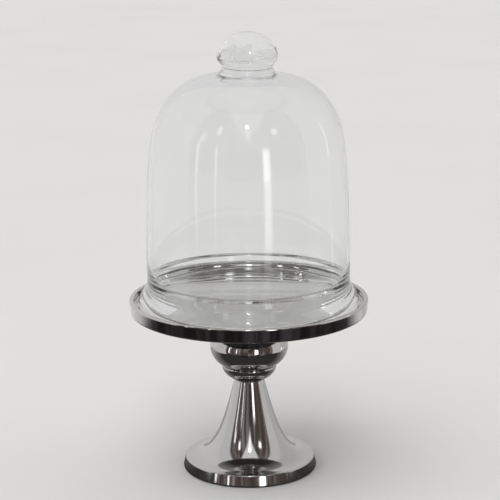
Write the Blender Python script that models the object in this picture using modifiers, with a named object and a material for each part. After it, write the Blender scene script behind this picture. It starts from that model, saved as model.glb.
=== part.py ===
"""Cheese dome: a blown glass bell with a solid knob, lifted off a polished tray on a turned foot.

Units are metres, +Z is up, and the origin is the middle of the underside that rests on the table.
Every turned piece is an outline at +X, walked down its outer side, that a Screw modifier turns.
"""

import math

import bmesh
import bpy
import numpy as np

# ---------------------------------------------------------------- driving dimensions

# Glass bell and knob.
BELL_R = 0.0930  # outside radius of the straight wall
BELL_H = 0.2112  # lip to crown
BELL_WALL = 0.0028
LIP_OVERHANG = 0.0086  # how far the turned-out foot stands proud of the wall
FOOT_INSET = 0.0065  # how far the solid foot reaches in from the wall's outside
FLARE_H = 0.0235  # height of the turned-out foot
SHOULDER_H = 0.0537  # crown to where the shoulder meets the tapering wall
SHOULDER_TAPER = 0.0065  # how much narrower the wall is at the shoulder
KNOB_R = 0.0280
KNOB_H = 0.0383
KNOB_NECK_INSET = 0.0050  # the neck is this much narrower than the head
KNOB_COLLAR_PROUD = 0.0020  # the collar on the crown stands out this much from the neck

# Tray.
RIM_WIDTH = 0.0043
RIM_RISE = 0.0060  # rim above the floor that the bell stands on
TRAY_FLOOR = 0.0072
TRAY_TAPER = 0.0012  # the side draws in this much towards the underside
GROOVE_WIDTH = 0.0010  # turned ring that marks where the bell stands
GROOVE_DEPTH = 0.0004
BOSS_R = 0.0130
BOSS_H = 0.0100

# Turned pieces under the tray.
UPPER_BOWL_R = 0.0362
UPPER_BOWL_H = 0.0510
UPPER_BOWL_WIDEST = 0.0190  # its foot up to its widest ring
UPPER_BOWL_NECK_R = 0.0240
UPPER_BOWL_NECK_H = 0.0135
LOWER_BOWL_R = 0.0252
LOWER_BOWL_H = 0.0134
LOWER_BOWL_OVERHANG = 0.0008  # how far its foot stands out over the stem
STEM_TOP_R = 0.0140
PEDESTAL_H = 0.0850
BASE_R = 0.0628
BASE_EDGE_H = 0.0108
BASE_EDGE_TAPER = 0.0023
BASE_LIP_WIDTH = 0.0050

# Tie rod and what it clamps.
ROD_R = 0.0040
ROD_ENGAGE = 0.0100  # length of rod inside the tray's boss
ROD_TAIL = 0.0018  # rod left showing below the nut
ROD_HEADROOM = 0.0017  # air between the rod's end and the pad
NUT_FLATS = 0.0130
NUT_H = 0.0065
LOCK_WASHER_R = 0.0072
LOCK_WASHER_T = 0.0020
LOCK_WASHER_SPLIT = math.radians(14)
FLAT_WASHER_R = 0.0120
FLAT_WASHER_T = 0.0016

# Pad under the foot.
PAD_T = 0.0012
PAD_EDGE = 0.0068  # metal left showing round the pad
PAD_PROUD = 0.0005  # how far the pad holds the metal edge off the table

# Fits.
GAP = 0.0003  # air left between two pieces that touch
ROD_CLEARANCE = 0.0003
BOSS_CLEARANCE = 0.0008
POCKET_CLEARANCE = 0.0020
TRAY_CLEARANCE = 0.0041  # bell's lip to the inside of the rim
GROOVE_CLEARANCE = 0.0008  # the turned ring to the inside of the bell's foot
PAD_CLEARANCE = 0.0006

# Edge rounding.
EDGE = 0.0012
SMALL_EDGE = 0.0004

# Turning.
FINE_STEPS = 48
STEPS = 36
SMALL_STEPS = 24
SMOOTH_ANGLE = math.radians(35)

# ---------------------------------------------------------------- sizes that follow

KNOB_NECK_R = KNOB_R - KNOB_NECK_INSET
KNOB_COLLAR_R = KNOB_NECK_R + KNOB_COLLAR_PROUD
LIP_R = BELL_R + LIP_OVERHANG
RIM_INNER_R = LIP_R + TRAY_CLEARANCE
TRAY_R = RIM_INNER_R + RIM_WIDTH
FOOT_INNER_R = BELL_R - FOOT_INSET
BORE_R = ROD_R + ROD_CLEARANCE
BOSS_POCKET_R = BOSS_R + BOSS_CLEARANCE
NUT_POCKET_R = FLAT_WASHER_R + POCKET_CLEARANCE
PAD_R = BASE_R - PAD_EDGE
PAD_RECESS_R = PAD_R + PAD_CLEARANCE

# Heights, stacked from the table up.
PEDESTAL_Z = PAD_PROUD
PAD_CEILING_Z = PAD_T + GAP
PEDESTAL_TOP_Z = PEDESTAL_Z + PEDESTAL_H
LOWER_BOWL_Z = PEDESTAL_TOP_Z + GAP
LOWER_BOWL_TOP_Z = LOWER_BOWL_Z + LOWER_BOWL_H
UPPER_BOWL_Z = LOWER_BOWL_TOP_Z + GAP
UPPER_BOWL_TOP_Z = UPPER_BOWL_Z + UPPER_BOWL_H
TRAY_Z = UPPER_BOWL_TOP_Z + GAP
FLOOR_Z = TRAY_Z + TRAY_FLOOR
RIM_Z = FLOOR_Z + RIM_RISE
BELL_Z = FLOOR_Z + GAP
CROWN_Z = BELL_Z + BELL_H
KNOB_Z = CROWN_Z + GAP
BOSS_Z = TRAY_Z - BOSS_H

# Heights inside the foot, stacked from the pad up.
ROD_Z = PAD_T + ROD_HEADROOM
NUT_Z = ROD_Z + ROD_TAIL
LOCK_WASHER_Z = NUT_Z + NUT_H + GAP
FLAT_WASHER_Z = LOCK_WASHER_Z + LOCK_WASHER_T + GAP
POCKET_CEILING_Z = FLAT_WASHER_Z + FLAT_WASHER_T + GAP
ROD_TOP_Z = BOSS_Z + ROD_ENGAGE

COLLECTION = "cheese_dome"
CUTTERS = "cheese_dome_cutters"

# Colour, roughness, metallic, transmission.
FINISHES = {
    "clear_glass": ((0.90, 0.92, 0.92), 0.03, 0.0, 1.0),
    "polished_metal": ((0.78, 0.76, 0.74), 0.12, 1.0, 0.0),
    "plated_steel": ((0.62, 0.63, 0.65), 0.35, 1.0, 0.0),
    "black_felt": ((0.03, 0.03, 0.03), 0.95, 0.0, 0.0),
}


# ---------------------------------------------------------------- scene helpers


def clear_scene():
    """Removes what the scene holds."""
    for thing in list(bpy.data.objects):
        bpy.data.objects.remove(thing, do_unlink=True)


def make_collection(name):
    """Makes a collection in the scene."""
    made = bpy.data.collections.new(name)
    bpy.context.scene.collection.children.link(made)
    return made


def make_finish(piece, name):
    """Gives a piece a Principled material of its own."""
    colour, roughness, metallic, transmission = FINISHES[name]
    finish = bpy.data.materials.new(piece.name + "_" + name)
    finish.use_nodes = True
    shader = finish.node_tree.nodes["Principled BSDF"]
    shader.inputs["Base Color"].default_value = (*colour, 1.0)
    shader.inputs["Roughness"].default_value = roughness
    shader.inputs["Metallic"].default_value = metallic
    shader.inputs["Transmission Weight"].default_value = transmission
    piece.data.materials.append(finish)


def add_object(name, mesh, group):
    """Puts a mesh in the scene as a named object in a collection."""
    made = bpy.data.objects.new(name, mesh)
    group.objects.link(made)
    return made


# ---------------------------------------------------------------- outlines


def bezier(start, start_handle, end_handle, end, count):
    """Points along a cubic curve, both ends included."""
    t = np.linspace(0.0, 1.0, count)[:, None]
    points = np.array([start, start_handle, end_handle, end])
    weights = np.hstack([(1 - t) ** 3, 3 * t * (1 - t) ** 2, 3 * t * t * (1 - t), t**3])
    return [tuple(p) for p in weights @ points]


def rounded(corner, before, after, radius, count=3):
    """Points that round the corner between two neighbours of an outline."""
    corner = np.array(corner)
    back = np.array(before) - corner
    on = np.array(after) - corner
    reach = min(radius, 0.45 * np.linalg.norm(back), 0.45 * np.linalg.norm(on))
    first = corner + back / np.linalg.norm(back) * reach
    last = corner + on / np.linalg.norm(on) * reach
    t = np.linspace(0.0, 1.0, count)[:, None]
    return [tuple(p) for p in (1 - t) ** 2 * first + 2 * t * (1 - t) * corner + t * t * last]


def inset(points, depth):
    """The points of an outline moved square to it, towards the axis and down."""
    line = np.array(points)
    along = np.gradient(line, axis=0)
    along /= np.linalg.norm(along, axis=1)[:, None]
    inward = np.stack([along[:, 1], -along[:, 0]], axis=1)
    return [tuple(p) for p in line + depth * inward]


def turned(name, outline, group, finish, steps=STEPS, closed=False):
    """Turns an outline of (radius, height) about Z. A closed outline leaves a bore through the piece."""
    mesh = bpy.data.meshes.new(name)
    count = len(outline)
    edges = [(i, i + 1) for i in range(count - 1)]
    if closed:
        edges.append((count - 1, 0))
    mesh.from_pydata([(r, 0.0, z) for r, z in outline], edges, [])
    piece = add_object(name, mesh, group)
    screw = piece.modifiers.new("turn", "SCREW")
    screw.axis = "Z"
    screw.angle = math.tau
    screw.steps = steps
    screw.render_steps = steps
    screw.use_smooth_shade = True
    screw.use_merge_vertices = True
    screw.merge_threshold = 0.00002
    split = piece.modifiers.new("crisp_edges", "EDGE_SPLIT")
    split.split_angle = SMOOTH_ANGLE
    weld = piece.modifiers.new("weld", "WELD")
    weld.merge_threshold = 0.00001
    make_finish(piece, finish)
    return piece


# ---------------------------------------------------------------- glass


def bell_outline():
    """Outside of the bell from its crown down to the lip, then back up the inside."""
    seat_r = KNOB_COLLAR_R
    shoulder_r = BELL_R - SHOULDER_TAPER
    shoulder_z = CROWN_Z - SHOULDER_H
    flare_z = BELL_Z + FLARE_H
    span = BELL_R - seat_r
    wall = shoulder_z - flare_z
    crown = bezier(
        (seat_r, CROWN_Z),
        (seat_r + 0.48 * span, CROWN_Z),
        (seat_r + 0.81 * span, CROWN_Z - 0.40 * SHOULDER_H),
        (shoulder_r, shoulder_z),
        9,
    )
    side = bezier(
        (shoulder_r, shoulder_z),
        (BELL_R - 0.38 * SHOULDER_TAPER, shoulder_z - 0.15 * wall),
        (BELL_R, shoulder_z - 0.52 * wall),
        (BELL_R, flare_z),
        5,
    )
    flare = bezier(
        (BELL_R, flare_z),
        (BELL_R, BELL_Z + 0.52 * FLARE_H),
        (LIP_R, BELL_Z + 0.50 * FLARE_H),
        (LIP_R, BELL_Z + EDGE),
        6,
    )
    inner_flare = bezier(
        (FOOT_INNER_R, BELL_Z),
        (FOOT_INNER_R, BELL_Z + 0.35 * FLARE_H),
        (FOOT_INNER_R + 0.2 * BELL_WALL, BELL_Z + 0.60 * FLARE_H),
        (BELL_R - BELL_WALL, flare_z),
        6,
    )
    outside = crown + side[1:]
    inside = inset(outside, BELL_WALL)[::-1]
    return (
        [(0.0, CROWN_Z)]
        + outside
        + flare[1:]
        + [(LIP_R - EDGE, BELL_Z)]
        + inner_flare
        + inside[1:]
        + [(0.0, CROWN_Z - BELL_WALL)]
    )


def make_glass_bell(group):
    """Blown bell: crown, tapering wall and a foot turned out to stand in the tray."""
    return turned("glass_bell", bell_outline(), group, "clear_glass", FINE_STEPS)


def make_glass_knob(group):
    """Solid knob: a mushroom on a short neck, with the collar that joins it to the crown."""
    neck_z = KNOB_Z + 0.15 * KNOB_H
    waist_z = KNOB_Z + 0.42 * KNOB_H
    top_z = KNOB_Z + KNOB_H
    head = bezier(
        (0.0, top_z),
        (0.52 * KNOB_R, top_z),
        (KNOB_R, waist_z + 0.43 * (top_z - waist_z)),
        (KNOB_R, waist_z),
        9,
    )
    throat = bezier(
        (KNOB_R, waist_z),
        (KNOB_R, waist_z - 0.55 * (waist_z - neck_z)),
        (KNOB_NECK_R, waist_z - 0.60 * (waist_z - neck_z)),
        (KNOB_NECK_R, neck_z),
        4,
    )
    collar = bezier(
        (KNOB_NECK_R, neck_z),
        (KNOB_NECK_R, KNOB_Z + 0.07 * KNOB_H),
        (KNOB_COLLAR_R, KNOB_Z + 0.08 * KNOB_H),
        (KNOB_COLLAR_R, KNOB_Z + SMALL_EDGE),
        4,
    )
    foot = [(KNOB_COLLAR_R - SMALL_EDGE, KNOB_Z), (0.0, KNOB_Z)]
    return turned("glass_knob", head + throat[1:] + collar[1:] + foot, group, "clear_glass")


# ---------------------------------------------------------------- tray


def make_tray(group):
    """Cast tray: flat polished floor with a turned ring, raised rim and a tapped boss underneath."""
    rim_outer_top = (TRAY_R, RIM_Z)
    rim_inner_top = (RIM_INNER_R, RIM_Z)
    floor_corner = (RIM_INNER_R, FLOOR_Z)
    side_bottom = (TRAY_R - TRAY_TAPER, TRAY_Z)
    boss_root = (BOSS_R, TRAY_Z)
    groove_outer = FOOT_INNER_R - GROOVE_CLEARANCE
    groove = [
        (groove_outer - GROOVE_WIDTH, FLOOR_Z),
        (groove_outer - 0.5 * GROOVE_WIDTH, FLOOR_Z - GROOVE_DEPTH),
        (groove_outer, FLOOR_Z),
    ]
    outline = (
        [(0.0, FLOOR_Z)]
        + groove
        + rounded(floor_corner, (FOOT_INNER_R, FLOOR_Z), rim_inner_top, 2 * EDGE)
        + rounded(rim_inner_top, floor_corner, rim_outer_top, EDGE)
        + rounded(rim_outer_top, rim_inner_top, side_bottom, EDGE)
        + rounded(side_bottom, rim_outer_top, boss_root, 1.5 * EDGE)
        + [boss_root, (BOSS_R, BOSS_Z), (BORE_R, BOSS_Z)]
        + [(BORE_R, ROD_TOP_Z + GAP), (0.0, ROD_TOP_Z + GAP)]
    )
    return turned("tray", outline, group, "polished_metal", FINE_STEPS)


# ---------------------------------------------------------------- foot


def make_upper_bowl(group):
    """Upper bowl: a squat ball under a short neck, with a pocket for the tray's boss and the rod's bore."""
    widest_z = UPPER_BOWL_Z + UPPER_BOWL_WIDEST
    pocket_z = BOSS_Z - BOSS_CLEARANCE
    neck_z = UPPER_BOWL_TOP_Z - UPPER_BOWL_NECK_H
    foot_r = LOWER_BOWL_R
    over_h = neck_z - widest_z
    over_span = UPPER_BOWL_R - UPPER_BOWL_NECK_R
    under_span = UPPER_BOWL_R - foot_r
    over = bezier(
        (UPPER_BOWL_NECK_R, neck_z),
        (UPPER_BOWL_NECK_R + 0.65 * over_span, neck_z - 0.22 * over_h),
        (UPPER_BOWL_R, widest_z + 0.30 * over_h),
        (UPPER_BOWL_R, widest_z),
        6,
    )
    under = bezier(
        (UPPER_BOWL_R, widest_z),
        (UPPER_BOWL_R, UPPER_BOWL_Z + 0.47 * UPPER_BOWL_WIDEST),
        (foot_r + 0.50 * under_span, UPPER_BOWL_Z + 0.18 * UPPER_BOWL_WIDEST),
        (foot_r, UPPER_BOWL_Z),
        7,
    )
    inside = [
        (BORE_R, UPPER_BOWL_Z),
        (BORE_R, pocket_z),
        (BOSS_POCKET_R, pocket_z),
        (BOSS_POCKET_R, UPPER_BOWL_TOP_Z),
    ]
    outline = [(UPPER_BOWL_NECK_R, UPPER_BOWL_TOP_Z)] + over + under[1:] + inside
    return turned("upper_bowl", outline, group, "polished_metal", STEPS, closed=True)


def make_lower_bowl(group):
    """Lower bowl: a smaller cup whose rounded shoulder shows under the upper one."""
    shoulder = (LOWER_BOWL_R, LOWER_BOWL_TOP_Z)
    shoulder_z = LOWER_BOWL_TOP_Z - 0.13 * LOWER_BOWL_H
    foot_r = STEM_TOP_R + LOWER_BOWL_OVERHANG
    cup = bezier(
        (LOWER_BOWL_R, shoulder_z),
        (LOWER_BOWL_R, LOWER_BOWL_Z + 0.54 * LOWER_BOWL_H),
        (foot_r + 0.50 * (LOWER_BOWL_R - foot_r), LOWER_BOWL_Z + 0.20 * LOWER_BOWL_H),
        (foot_r, LOWER_BOWL_Z),
        6,
    )
    outline = (
        rounded(shoulder, (BORE_R, LOWER_BOWL_TOP_Z), (LOWER_BOWL_R, shoulder_z), EDGE)
        + cup
        + [(BORE_R, LOWER_BOWL_Z), (BORE_R, LOWER_BOWL_TOP_Z)]
    )
    return turned("lower_bowl", outline, group, "polished_metal", STEPS, closed=True)


def make_pedestal(group):
    """Trumpet stem and round foot in one casting, with a pocket for the nut and a recess for the pad."""
    lip_top_z = PEDESTAL_Z + BASE_EDGE_H
    edge_top = (BASE_R - BASE_EDGE_TAPER, lip_top_z)
    lip_inner = (BASE_R - BASE_EDGE_TAPER - BASE_LIP_WIDTH, lip_top_z)
    edge_bottom = (BASE_R, PEDESTAL_Z)
    stem_top = (STEM_TOP_R, PEDESTAL_TOP_Z)
    rise = PEDESTAL_TOP_Z - lip_top_z
    spread = lip_inner[0] - STEM_TOP_R
    trumpet = bezier(
        (STEM_TOP_R, PEDESTAL_TOP_Z - EDGE),
        (STEM_TOP_R + 0.265 * spread, lip_top_z + 0.42 * rise),
        (STEM_TOP_R + 0.45 * spread, lip_top_z + 0.02 * rise),
        lip_inner,
        12,
    )
    outline = (
        rounded(stem_top, (BORE_R, PEDESTAL_TOP_Z), (STEM_TOP_R, PEDESTAL_TOP_Z - EDGE), EDGE)
        + trumpet
        + rounded(edge_top, lip_inner, edge_bottom, EDGE)
        + rounded(edge_bottom, edge_top, (PAD_RECESS_R, PEDESTAL_Z), EDGE)
        + [(PAD_RECESS_R, PEDESTAL_Z), (PAD_RECESS_R, PAD_CEILING_Z)]
        + [(NUT_POCKET_R, PAD_CEILING_Z), (NUT_POCKET_R, POCKET_CEILING_Z)]
        + [(BORE_R, POCKET_CEILING_Z), (BORE_R, PEDESTAL_TOP_Z)]
    )
    return turned("pedestal", outline, group, "polished_metal", FINE_STEPS, closed=True)


def make_base_pad(group):
    """Round felt pad that the foot stands on."""
    outline = [(0.0, PAD_T), (PAD_R, PAD_T), (PAD_R, 0.0), (0.0, 0.0)]
    return turned("base_pad", outline, group, "black_felt", FINE_STEPS)


# ---------------------------------------------------------------- tie rod


def make_tie_rod(group):
    """Rod from the tray's boss down through both bowls and the pedestal."""
    top = (ROD_R, ROD_TOP_Z)
    bottom = (ROD_R, ROD_Z)
    outline = (
        [(0.0, ROD_TOP_Z)]
        + rounded(top, (0.0, ROD_TOP_Z), bottom, SMALL_EDGE, 2)
        + rounded(bottom, top, (0.0, ROD_Z), SMALL_EDGE, 2)
        + [(0.0, ROD_Z)]
    )
    return turned("tie_rod", outline, group, "plated_steel", SMALL_STEPS)


def make_flat_washer(group):
    """Wide washer against the ceiling of the pedestal's pocket."""
    top_z = FLAT_WASHER_Z + FLAT_WASHER_T
    outer_top = (FLAT_WASHER_R, top_z)
    outer_bottom = (FLAT_WASHER_R, FLAT_WASHER_Z)
    outline = (
        rounded(outer_top, (BORE_R, top_z), outer_bottom, SMALL_EDGE, 3)
        + rounded(outer_bottom, outer_top, (BORE_R, FLAT_WASHER_Z), SMALL_EDGE, 3)
        + [(BORE_R, FLAT_WASHER_Z), (BORE_R, top_z)]
    )
    return turned("flat_washer", outline, group, "plated_steel", SMALL_STEPS, closed=True)


def make_lock_washer(group, cutters):
    """Spring washer: a thick ring with one cut through it."""
    top_z = LOCK_WASHER_Z + LOCK_WASHER_T
    outline = [
        (LOCK_WASHER_R, top_z),
        (LOCK_WASHER_R, LOCK_WASHER_Z),
        (BORE_R, LOCK_WASHER_Z),
        (BORE_R, top_z),
    ]
    washer = turned("lock_washer", outline, group, "plated_steel", SMALL_STEPS, closed=True)
    width = LOCK_WASHER_R * LOCK_WASHER_SPLIT
    bm = bmesh.new()
    bmesh.ops.create_cube(bm, size=1.0)
    bmesh.ops.scale(bm, vec=(2 * LOCK_WASHER_R, width, 3 * LOCK_WASHER_T), verts=bm.verts)
    split = add_cutter("lock_washer_split", bm, cutters)
    split.location = (LOCK_WASHER_R + ROD_R, 0.0, LOCK_WASHER_Z + LOCK_WASHER_T / 2)
    split.rotation_euler = (math.radians(20), 0.0, 0.0)
    cut(washer, split)
    return washer


def add_cutter(name, bm, cutters):
    """Makes a hidden cutter from a bmesh, and frees the bmesh."""
    mesh = bpy.data.meshes.new(name)
    bm.to_mesh(mesh)
    bm.free()
    cutter = add_object(name, mesh, cutters)
    cutter.hide_render = True
    cutter.display_type = "WIRE"
    return cutter


def cut(piece, cutter):
    """Cuts one object from another."""
    boolean = piece.modifiers.new("cut_" + cutter.name, "BOOLEAN")
    boolean.operation = "DIFFERENCE"
    boolean.object = cutter


def make_hex_nut(group, cutters):
    """Nut below the washers that pulls the whole stack together."""
    bm = bmesh.new()
    across_corners = NUT_FLATS / 2 / math.cos(math.pi / 6)
    bmesh.ops.create_cone(
        bm, cap_ends=True, segments=6, radius1=across_corners, radius2=across_corners, depth=NUT_H
    )
    mesh = bpy.data.meshes.new("hex_nut")
    bm.to_mesh(mesh)
    bm.free()
    nut = add_object("hex_nut", mesh, group)
    nut.location.z = NUT_Z + NUT_H / 2
    bore = bmesh.new()
    bmesh.ops.create_cone(
        bore, cap_ends=True, segments=SMALL_STEPS, radius1=BORE_R, radius2=BORE_R, depth=2 * NUT_H
    )
    drill = add_cutter("hex_nut_bore", bore, cutters)
    drill.location.z = NUT_Z + NUT_H / 2
    cut(nut, drill)
    make_finish(nut, "plated_steel")
    return nut


# ---------------------------------------------------------------- build


def main():
    """Builds every piece and gathers the lifting pieces under one empty on the lift's axis."""
    clear_scene()
    group = make_collection(COLLECTION)
    cutters = make_collection(CUTTERS)
    lift = bpy.data.objects.new("dome_lift_axis", None)
    group.objects.link(lift)
    for make in (make_glass_bell, make_glass_knob):
        make(group).parent = lift
    for make in (
        make_tray,
        make_upper_bowl,
        make_lower_bowl,
        make_pedestal,
        make_base_pad,
        make_tie_rod,
        make_flat_washer,
    ):
        make(group)
    for make in (make_lock_washer, make_hex_nut):
        make(group, cutters)


main()
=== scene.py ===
"""Cheese dome: blown glass dome, polished tray, two bowls and a trumpet pedestal, dressed for a studio view.

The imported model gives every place. Each turned piece is an outline of (radius, height) carried round the
object's axis, worked out as whole arrays, and each finish is a small class that mixes its own nodes.
"""

import logging
import math
from collections.abc import Callable, Sequence
from dataclasses import dataclass
from enum import Enum
from typing import Any

import bpy
import numpy as np
from mathutils import Matrix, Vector
from numpy.typing import NDArray


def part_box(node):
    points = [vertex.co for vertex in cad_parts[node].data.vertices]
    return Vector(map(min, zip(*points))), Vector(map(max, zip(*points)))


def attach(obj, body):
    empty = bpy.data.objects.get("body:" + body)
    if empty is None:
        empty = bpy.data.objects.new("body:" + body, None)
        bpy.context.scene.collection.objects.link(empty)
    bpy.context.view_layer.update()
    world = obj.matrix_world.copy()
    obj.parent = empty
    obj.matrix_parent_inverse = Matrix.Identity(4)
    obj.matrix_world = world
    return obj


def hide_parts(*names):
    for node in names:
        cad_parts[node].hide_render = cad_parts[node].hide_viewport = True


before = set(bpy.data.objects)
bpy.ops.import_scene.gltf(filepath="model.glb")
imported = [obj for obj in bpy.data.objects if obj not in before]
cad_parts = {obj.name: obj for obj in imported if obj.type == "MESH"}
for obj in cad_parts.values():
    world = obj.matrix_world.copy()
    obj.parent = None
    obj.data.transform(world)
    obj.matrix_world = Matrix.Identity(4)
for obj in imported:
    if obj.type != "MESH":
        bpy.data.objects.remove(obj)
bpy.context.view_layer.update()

LOG = logging.getLogger("cheese_dome")

SAME_POINT = 1e-7  # two points closer than this are one
FLAT_STEP = 0.005  # a longer step than this is a flat
CORNER_REACH = 0.0002  # how close to its ends a flat is held
GAP = 0.0003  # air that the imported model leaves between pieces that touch
BORE_RADIUS = 0.0043

Points = NDArray[np.float64]
Wobble = Callable[[Points, Points, Points], Points]


class Body(Enum):
    """The two rigid bodies that a piece can ride on."""

    STAND = "stand"
    DOME = "dome"


class Slot(Enum):
    """The record's material slots."""

    GLASS = "clear_glass"
    METAL = "polished_metal"
    STEEL = "plated_steel"
    FELT = "black_felt"


# ---------------------------------------------------------------- outlines


def bezier(start: Sequence[float], start_handle: Sequence[float], end_handle: Sequence[float],
           end: Sequence[float], count: int) -> Points:
    """Points along a cubic curve: the four controls weighted by the Bernstein polynomials of t.

    Args:
        start: first (radius, height).
        start_handle: handle that sets the way out of the start.
        end_handle: handle that sets the way into the end.
        end: last (radius, height).
        count: how many points, both ends included.

    Returns:
        An array of (radius, height).
    """
    t = np.linspace(0.0, 1.0, count)[:, None]
    weights = np.hstack([(1 - t) ** 3, 3 * t * (1 - t) ** 2, 3 * t * t * (1 - t), t**3])
    return weights @ np.array([start, start_handle, end_handle, end], float)


def fillet(corner: Sequence[float], before: Sequence[float], after: Sequence[float], radius: float,
           count: int = 9) -> Points:
    """An arc that rounds a corner: a circle touching both legs, from one touching point to the other.

    Args:
        corner: the sharp corner, (radius, height).
        before: a point on the leg that comes in.
        after: a point on the leg that goes out.
        radius: the arc's radius in metres.
        count: points along the arc.

    Returns:
        An array of (radius, height).
    """
    middle = np.array(corner, float)
    back = np.array(before, float) - middle
    on = np.array(after, float) - middle
    back /= np.linalg.norm(back)
    on /= np.linalg.norm(on)
    half = 0.5 * math.acos(float(np.clip(back @ on, -1.0, 1.0)))
    bisector = (back + on) / np.linalg.norm(back + on)
    centre = middle + bisector * radius / math.sin(half)
    first = middle + back * radius / math.tan(half) - centre
    last = middle + on * radius / math.tan(half) - centre
    sweep = math.acos(float(np.clip(first @ last / radius**2, -1.0, 1.0)))
    t = np.linspace(0.0, 1.0, count)[:, None]
    arc = (np.sin((1 - t) * sweep) * first + np.sin(t * sweep) * last) / math.sin(sweep)
    return centre + arc


def straight(start: Sequence[float], end: Sequence[float], count: int) -> Points:
    """Evenly spaced points from start to end, both included."""
    return np.linspace(np.array(start, float), np.array(end, float), count)


def joined(*runs: Points) -> Points:
    """Runs of an outline laid end to end, ready to be shaded smooth.

    A point that repeats the one before is left out, and a long flat step gets a point close to each of
    its ends, so that it shades flat between the soft corners beside it.

    Args:
        runs: the stretches of the outline, in order.

    Returns:
        An array of (radius, height).
    """
    line = np.vstack(runs)
    step = np.linalg.norm(np.diff(line, axis=0), axis=1)
    line = line[np.concatenate([[True], step > SAME_POINT])]
    along = np.diff(line, axis=0)
    length = np.linalg.norm(along, axis=1)[:, None]
    close = along * CORNER_REACH / length
    steps = np.stack([line[:-1], line[:-1] + close, line[1:] - close], axis=1)
    flat = length[:, 0] > FLAT_STEP
    kept = np.stack([np.ones_like(flat), flat, flat], axis=1)
    return np.vstack([steps[kept], line[-1:]])


def inset(line: Points, depth: float | Points) -> Points:
    """An outline moved square to itself by depth, towards the axis on a stretch that runs down.

    Args:
        line: the outline, as (radius, height).
        depth: how far to move, as one number or one for each point.

    Returns:
        The moved outline, point for point.
    """
    along = np.gradient(line, axis=0)
    along /= np.linalg.norm(along, axis=1)[:, None]
    inward = np.stack([along[:, 1], -along[:, 0]], axis=1)
    return line + np.asarray(depth).reshape(-1, 1) * inward


def bump(position: Points, centre: float, width: float) -> Points:
    """A smooth hill: one at the centre, fading as a bell curve of the given width."""
    return np.exp(-(((position - centre) / width) ** 2))


# ---------------------------------------------------------------- surfaces


@dataclass
class TurnedSurface:
    """A surface of revolution.

    A point is (r + w) cos a, (r + w) sin a, z, where (r, z) walks the outline, a goes once round the axis
    and w is the wobble at that radius, height and angle.
    """

    name: str
    outline: Points
    around: int = 192
    ring: bool = False
    wobble: Wobble | None = None

    def points(self) -> Points:
        """The grid of points, one row for each point of the outline.

        Returns:
            An array of rows x columns x 3.
        """
        angle = np.linspace(0.0, math.tau, self.around, endpoint=False)[None, :]
        radius = self.outline[:, :1] + 0.0 * angle
        height = self.outline[:, 1:] + 0.0 * angle
        if self.wobble is not None:
            radius = radius + self.wobble(radius, height, angle + 0.0 * radius)
        return np.stack([radius * np.cos(angle), radius * np.sin(angle), height], axis=-1)

    def build(self) -> bpy.types.Object:
        """Puts the surface in the scene: quads between rows, with a fan at each pole.

        Returns:
            The new object, smooth shaded, with its place in its mesh.
        """
        grid = self.points()
        rows, columns = grid.shape[:2]
        index = np.arange(rows * columns).reshape(rows, columns)
        if not self.ring:
            index[0] = index[0, 0]
            index[-1] = index[-1, 0]
        below = np.roll(index, -1, axis=0)
        last = rows if self.ring else rows - 1
        a = index[:last]
        b = below[:last]
        c = np.roll(b, -1, axis=1)
        d = np.roll(a, -1, axis=1)
        quads = np.stack([a, b, c, d], axis=-1)
        faces: list[list[int]] = []
        if self.ring:
            faces += quads.reshape(-1, 4).tolist()
        else:
            faces += quads[0][:, [0, 1, 2]].tolist()
            faces += quads[1:-1].reshape(-1, 4).tolist()
            faces += quads[-1][:, [0, 1, 3]].tolist()
        used, where = np.unique(index, return_inverse=True)
        lookup = np.zeros(rows * columns, int)
        lookup[used] = np.arange(len(used))
        faces = [[int(lookup[i]) for i in face] for face in faces]
        mesh = bpy.data.meshes.new(self.name)
        mesh.from_pydata(grid.reshape(-1, 3)[used].tolist(), [], faces)
        mesh.validate()
        mesh.shade_smooth()
        piece = bpy.data.objects.new(self.name, mesh)
        bpy.context.scene.collection.objects.link(piece)
        return piece


def seat(piece: bpy.types.Object, body: Body, slot: Slot, *nodes: str) -> bpy.types.Object:
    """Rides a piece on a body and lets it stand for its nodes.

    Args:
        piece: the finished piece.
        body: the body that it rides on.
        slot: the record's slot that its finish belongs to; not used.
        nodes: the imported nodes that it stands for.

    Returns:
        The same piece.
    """
    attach(piece, body.value)
    if nodes:
        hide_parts(*nodes)
    return piece


# ---------------------------------------------------------------- finishes


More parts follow.
